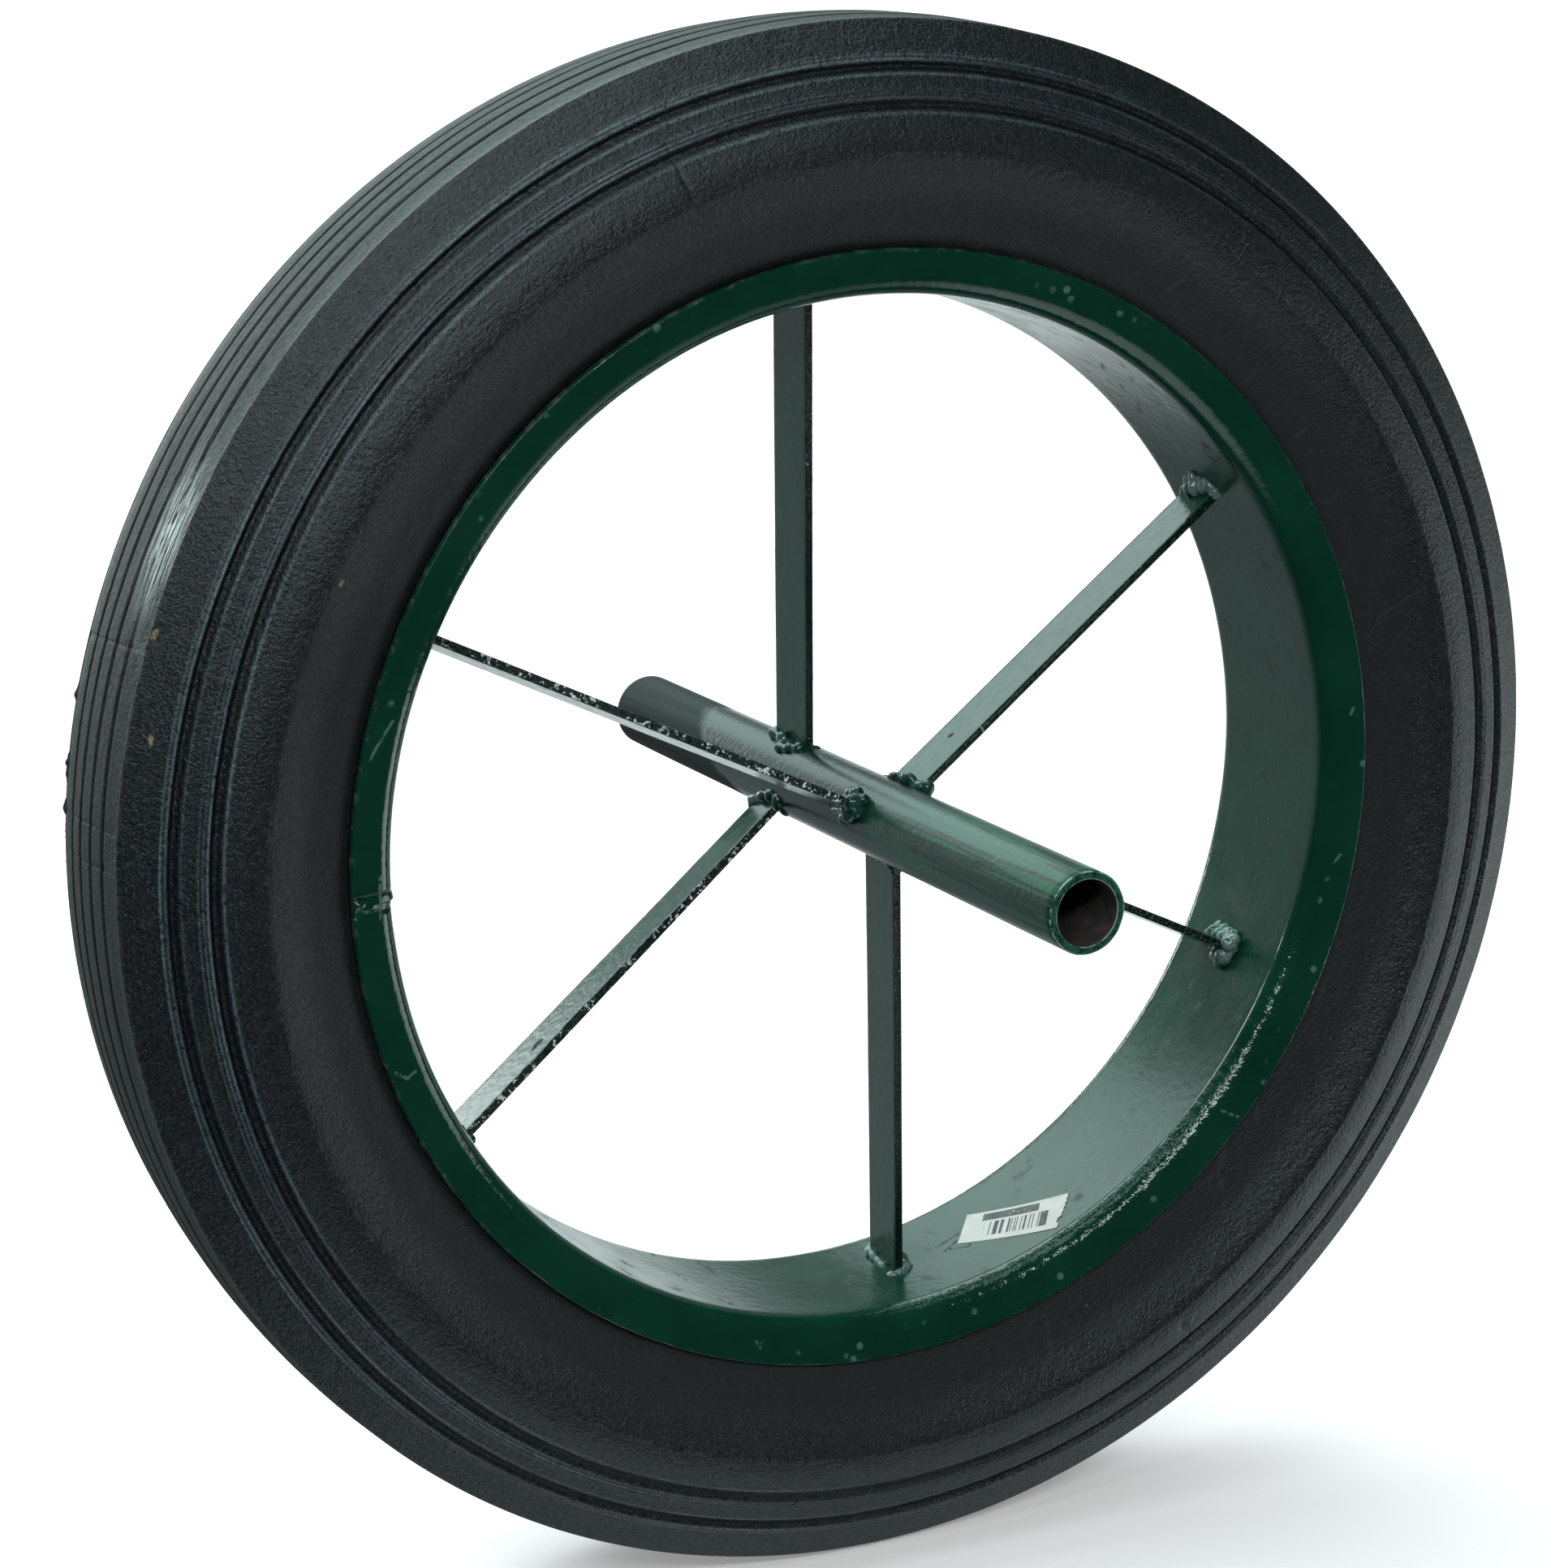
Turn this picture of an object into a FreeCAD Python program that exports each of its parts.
import FreeCAD, Part
import math
import os
from collections import namedtuple

# Spoked steel wheel with a rubber tyre, for a wheelbarrow. Millimetres.
# Frame: origin on the axle line at mid-length of the hub tube, axle along Y, +Z up.
# The near side is -Y: spokes 2, 4 and 6 have their feet there, 1, 3 and 5 on the far side.
V = FreeCAD.Vector
ORIGIN = V(0, 0, 0)
AXLE = V(0, 1, 0)
SAME_POINT = 1e-6           # points closer than this are one point

# --- tyre ---------------------------------------------------------------------------------
TYRE_R = 200.0              # crown of the tread
SHOULDER_R = 198.5          # sharp corner between tread and flank
SHOULDER_Y = 21.6
FLANK_R = 189.3             # foot of the straight flank under the shoulder
FLANK_Y = 26.9
GROOVE_OUT_R = 188.3        # far edge of the outer groove
GROOVE_OUT_Y = 27.25
BAND_OUT_R = 186.1          # narrow band between the two side grooves
BAND_OUT_Y = 28.0
BAND_IN_R = 179.4
BAND_IN_Y = 31.0
BULGE_R = 177.0             # bulge inside the inner groove
BULGE_Y = 31.7
BULGE_MID_R = 172.3
BULGE_MID_Y = 34.1
CREST_R = 166.8             # mould line, the widest place of the tyre
CREST_Y = 35.4
SIDEWALL_MID_R = 155.0
SIDEWALL_MID_Y = 30.4
SIDE_GROOVE_DEPTH = 1.3
TREAD_GROOVE_Y = (4.15, 12.4)
TREAD_GROOVE_R = 199.7      # where the mouth of a tread groove lies
TREAD_GROOVE_WIDTH = 2.2
TREAD_GROOVE_DEPTH = 1.4
TYRE_GAP = 0.3              # clearance between rubber and steel

# --- rim ----------------------------------------------------------------------------------
RIM_R = 132.0               # inner, visible face of the flat band
RIM_SHEET = 1.8
BEND_Y = 20.7               # where the flat band ends and the bend starts
BEND_R = 6.0                # bend radius on the visible face
LIP_TURN = math.radians(78)
LIP_R = 143.2               # outer edge of the flared lip
SEAM_ANGLE = 182.0          # degrees from +X towards +Z
SEAM_SPAN = 1.6             # degrees
SEAM_PROUD = 0.5

# --- hub ----------------------------------------------------------------------------------
HUB_LENGTH = 245.0
HUB_R = 10.0
BORE_R = 8.0
HUB_CHAMFER = 0.4

# --- spokes and welds ---------------------------------------------------------------------
SPOKE_WIDTH = 16.0
SPOKE_THICK = 2.2
SPOKE_PLANE_Y = 4.2         # where every spoke meets the rim
SPOKE_STAGGER = 23.0        # its foot is this far to one side or the other
# As welded, no two spokes stand quite alike: angle from +X towards +Z, how far the bar misses
# the axle line, side of the foot (+1 far, -1 near), twist about its own length.
Spoke = namedtuple("Spoke", "angle sideways side twist")
SPOKES = (Spoke(95.7, -0.6, 1, 3.2), Spoke(32.7, 1.0, -1, -5.4), Spoke(-24.7, -0.1, 1, -4.0),
          Spoke(-83.4, 0.7, -1, 2.1), Spoke(-145.0, 0.4, 1, 10.5), Spoke(155.2, 0.3, -1, 7.3))
HUB_WELD_LEG = 4.2          # how far the bead climbs the spoke
HUB_WELD_REACH = 1.8        # how far it spreads over the hub
RIM_WELD_LEG = 4.0
RIM_WELD_REACH = 2.4
WELD_TOP = 0.5              # how proud the bead is where it dies out on the spoke
OVERRUN = 6.0               # raw length left on a tool before it is trimmed to a round face

# --- label --------------------------------------------------------------------------------
LABEL_LENGTH = 30.0
LABEL_WIDTH = 15.0
LABEL_THICK = 0.2
LABEL_ANGLE = -67.6
LABEL_Y = -5.1
LABEL_TURN = -49.5


def lip_point(turn, radius):
    """Point (r, y) of the bend after `turn`, for a face of bend radius `radius`."""
    r = RIM_R + BEND_R - radius * math.cos(turn)
    y = BEND_Y + radius * math.sin(turn)
    return r, y


def side_of_rim(depth):
    """Half of a rim face, from mid-width to lip edge, `depth` below the visible face."""
    radius = BEND_R - depth
    middle = (RIM_R + depth, 0.0)
    start = lip_point(0.0, radius)
    halfway = lip_point(LIP_TURN / 2, radius)
    end = lip_point(LIP_TURN, radius)
    run = (LIP_R - lip_point(LIP_TURN, BEND_R)[0]) / math.sin(LIP_TURN)
    edge = (end[0] + run * math.sin(LIP_TURN), end[1] + run * math.cos(LIP_TURN))
    return [("line", middle, start), ("arc", start, halfway, end), ("line", end, edge)]


def mirrored(path):
    """The same path on the other side of the wheel, walked the other way."""
    flipped = []
    for piece in reversed(path):
        points = [(r, -y) for r, y in reversed(piece[1:])]
        flipped.append((piece[0], *points))
    return flipped


def reversed_path(path):
    return [(piece[0], *reversed(piece[1:])) for piece in reversed(path)]


def across(path):
    """Full-width path made from its far half."""
    return mirrored(path) + path


def section_face(path):
    """Face in the XY plane, x being the radius, closed with straight lines where needed."""
    edges = []
    ends = []
    for piece in path:
        points = [V(r, y, 0) for r, y in piece[1:]]
        if ends and ends[-1].distanceToPoint(points[0]) > SAME_POINT:
            edges.append(Part.makeLine(ends[-1], points[0]))
        if piece[0] == "arc":
            edges.append(Part.Arc(*points).toShape())
        else:
            edges.append(Part.makeLine(*points))
        ends.append(points[-1])
    first = V(path[0][1][0], path[0][1][1], 0)
    if ends[-1].distanceToPoint(first) > SAME_POINT:
        edges.append(Part.makeLine(ends[-1], first))
    return Part.Face(Part.Wire(edges))


def turned(face, start, span):
    """Revolve a section from `start` through `span` degrees, +X towards +Z."""
    solid = face.revolve(ORIGIN, AXLE, -span)
    solid.rotate(ORIGIN, AXLE, -start)
    return solid


def groove_ring(r, y, slope, width, depth):
    """Ring that cuts a round-bottomed groove; `slope` is the direction the face looks in."""
    out = V(math.cos(slope), math.sin(slope), 0)
    along = V(-math.sin(slope), math.cos(slope), 0)
    mouth = V(r, y, 0)
    a = mouth - along * (width / 2)
    b = mouth + along * (width / 2)
    top_a = a + out * width
    top_b = b + out * width
    floor = mouth - out * depth
    edges = [Part.makeLine(top_a, a), Part.Arc(a, floor, b).toShape(),
             Part.makeLine(b, top_b), Part.makeLine(top_b, top_a)]
    return Part.Face(Part.Wire(edges)).revolve(ORIGIN, AXLE, 360)


def side_groove(inner, outer):
    """Ring cutting the groove between two points of the tyre's side."""
    r = (inner[0] + outer[0]) / 2
    y = (inner[1] + outer[1]) / 2
    width = math.hypot(outer[0] - inner[0], outer[1] - inner[1])
    slope = math.atan2(outer[0] - inner[0], inner[1] - outer[1])
    return groove_ring(r, y, slope, width, SIDE_GROOVE_DEPTH)


def make_tyre():
    seat = side_of_rim(RIM_SHEET + TYRE_GAP)
    bead = seat[-1][-1]
    outside = [("arc", bead, (SIDEWALL_MID_R, SIDEWALL_MID_Y), (CREST_R, CREST_Y)),
               ("arc", (CREST_R, CREST_Y), (BULGE_MID_R, BULGE_MID_Y), (BULGE_R, BULGE_Y)),
               ("line", (BULGE_R, BULGE_Y), (BAND_IN_R, BAND_IN_Y)),
               ("line", (BAND_IN_R, BAND_IN_Y), (BAND_OUT_R, BAND_OUT_Y)),
               ("line", (BAND_OUT_R, BAND_OUT_Y), (FLANK_R, FLANK_Y)),
               ("line", (FLANK_R, FLANK_Y), (SHOULDER_R, SHOULDER_Y))]
    tread = [("arc", (SHOULDER_R, SHOULDER_Y), (TYRE_R, 0.0), (SHOULDER_R, -SHOULDER_Y))]
    path = across(seat) + outside + tread + mirrored(outside)
    tyre = turned(section_face(path), 0, 360)
    for side in (1, -1):
        bulge = (BULGE_R, side * BULGE_Y)
        band_in = (BAND_IN_R, side * BAND_IN_Y)
        band_out = (BAND_OUT_R, side * BAND_OUT_Y)
        groove_out = (GROOVE_OUT_R, side * GROOVE_OUT_Y)
        for inner, outer in ((bulge, band_in), (band_out, groove_out)):
            ends = (inner, outer) if side > 0 else (outer, inner)
            tyre = tyre.cut(side_groove(*ends))
        for y in TREAD_GROOVE_Y:
            groove = groove_ring(TREAD_GROOVE_R, side * y, 0.0, TREAD_GROOVE_WIDTH, TREAD_GROOVE_DEPTH)
            tyre = tyre.cut(groove)
    return tyre


def rim_section(proud):
    """Section of the rim sheet, its visible face raised by `proud`."""
    visible = across(side_of_rim(-proud))
    hidden = across(side_of_rim(RIM_SHEET))
    return section_face(visible + reversed_path(hidden))


def make_rim():
    start = SEAM_ANGLE + SEAM_SPAN / 2
    return turned(rim_section(0.0), start, 360 - SEAM_SPAN)


def make_rim_seam_weld():
    return turned(rim_section(SEAM_PROUD), SEAM_ANGLE - SEAM_SPAN / 2, SEAM_SPAN)


def y_cylinder(radius, length):
    return Part.makeCylinder(radius, length, V(0, -length / 2, 0), AXLE)


def make_hub_tube():
    bore = y_cylinder(BORE_R, HUB_LENGTH)
    tube = y_cylinder(HUB_R, HUB_LENGTH).cut(bore)
    end_edges = [e for e in tube.Edges
                 if isinstance(e.Curve, Part.Circle) and e.Curve.Radius > (HUB_R + BORE_R) / 2]
    return tube.makeChamfer(HUB_CHAMFER, end_edges)


def foot_y(side):
    return SPOKE_PLANE_Y + side * SPOKE_STAGGER


def spoke_placement(spoke):
    """The spoke's own frame: z up the spoke from its foot, y its width, x its thickness."""
    lean = math.degrees(math.atan2(SPOKE_PLANE_Y - foot_y(spoke.side), RIM_R - HUB_R))
    own_twist = FreeCAD.Rotation(V(0, 0, 1), spoke.twist)
    leaned = FreeCAD.Rotation(V(1, 0, 0), -lean)
    stood = FreeCAD.Rotation(AXLE, 90 - spoke.angle)
    foot = stood.multVec(V(-spoke.sideways, 0, HUB_R)) + V(0, foot_y(spoke.side), 0)
    return FreeCAD.Placement(foot, stood * leaned * own_twist)


def spoke_length():
    return math.hypot(RIM_R - HUB_R, SPOKE_STAGGER)


def spoke_bar(placement):
    """The raw bar, running past the hub face and the rim face."""
    bar = Part.makeBox(SPOKE_THICK, SPOKE_WIDTH, spoke_length() + 2 * OVERRUN,
                       V(-SPOKE_THICK / 2, -SPOKE_WIDTH / 2, -OVERRUN))
    bar.Placement = placement
    return bar


def inside_rim():
    """Everything within the band's visible face, run on straight past the lips."""
    return y_cylinder(RIM_R, HUB_LENGTH)


def hub_core():
    return y_cylinder(HUB_R, HUB_LENGTH)


def make_spoke(placement):
    return spoke_bar(placement).common(inside_rim()).cut(hub_core())


def bead_outline(z, grow):
    """Rectangle round the spoke at height z, `grow` wider than the bar on every side."""
    half_x = SPOKE_THICK / 2 + grow
    half_y = SPOKE_WIDTH / 2 + grow
    corners = [V(-half_x, -half_y, z), V(half_x, -half_y, z), V(half_x, half_y, z), V(-half_x, half_y, z)]
    return Part.makePolygon(corners + corners[:1])


def bead(foot, way, leg, reach):
    """Tapering block round a spoke: `reach` wide at `foot`, thin after `leg`, overrun behind the foot.

    `way` is +1 where the bead climbs away from the hub and -1 where it comes down from the rim."""
    grow = WELD_TOP + (reach - WELD_TOP) * (leg + OVERRUN) / leg
    wide = bead_outline(foot - way * OVERRUN, grow)
    thin = bead_outline(foot + way * leg, WELD_TOP)
    return Part.makeLoft([wide, thin], True, True)


def make_hub_weld(placement):
    block = bead(0.0, 1, HUB_WELD_LEG, HUB_WELD_REACH)
    block.Placement = placement
    return block.cut(hub_core()).cut(spoke_bar(placement))


def make_rim_weld(placement):
    block = bead(spoke_length(), -1, RIM_WELD_LEG, RIM_WELD_REACH)
    block.Placement = placement
    return block.common(inside_rim()).cut(spoke_bar(placement))


def make_barcode_label():
    """Thin label on the inner face of the band, turned on it."""
    corner = V(0, -LABEL_LENGTH / 2, -LABEL_WIDTH / 2)
    sheet = Part.makeBox(RIM_R, LABEL_LENGTH, LABEL_WIDTH, corner)
    sheet.rotate(ORIGIN, V(1, 0, 0), LABEL_TURN)
    sheet.translate(V(OVERRUN, LABEL_Y, 0))
    sheet.rotate(ORIGIN, AXLE, -LABEL_ANGLE)
    return sheet.common(inside_rim()).cut(y_cylinder(RIM_R - LABEL_THICK, 2 * BEND_Y))


def save(name, shape):
    """Write one part; a boolean's result is unwrapped to its single solid."""
    solids = shape.Solids
    print(name, "solids:", len(solids), "valid:", shape.isValid(), "mm3:", round(shape.Volume))
    part = solids[0] if len(solids) == 1 else shape
    part.exportStep(f"parts/{name}.step")


def main():
    os.makedirs("parts", exist_ok=True)
    save("tyre", make_tyre())
    save("rim", make_rim())
    save("rim_seam_weld", make_rim_seam_weld())
    save("hub_tube", make_hub_tube())
    for number, spoke in enumerate(SPOKES, start=1):
        placement = spoke_placement(spoke)
        save(f"spoke_{number}", make_spoke(placement))
        save(f"hub_weld_{number}", make_hub_weld(placement))
        save(f"rim_weld_{number}", make_rim_weld(placement))
    save("barcode_label", make_barcode_label())


main()
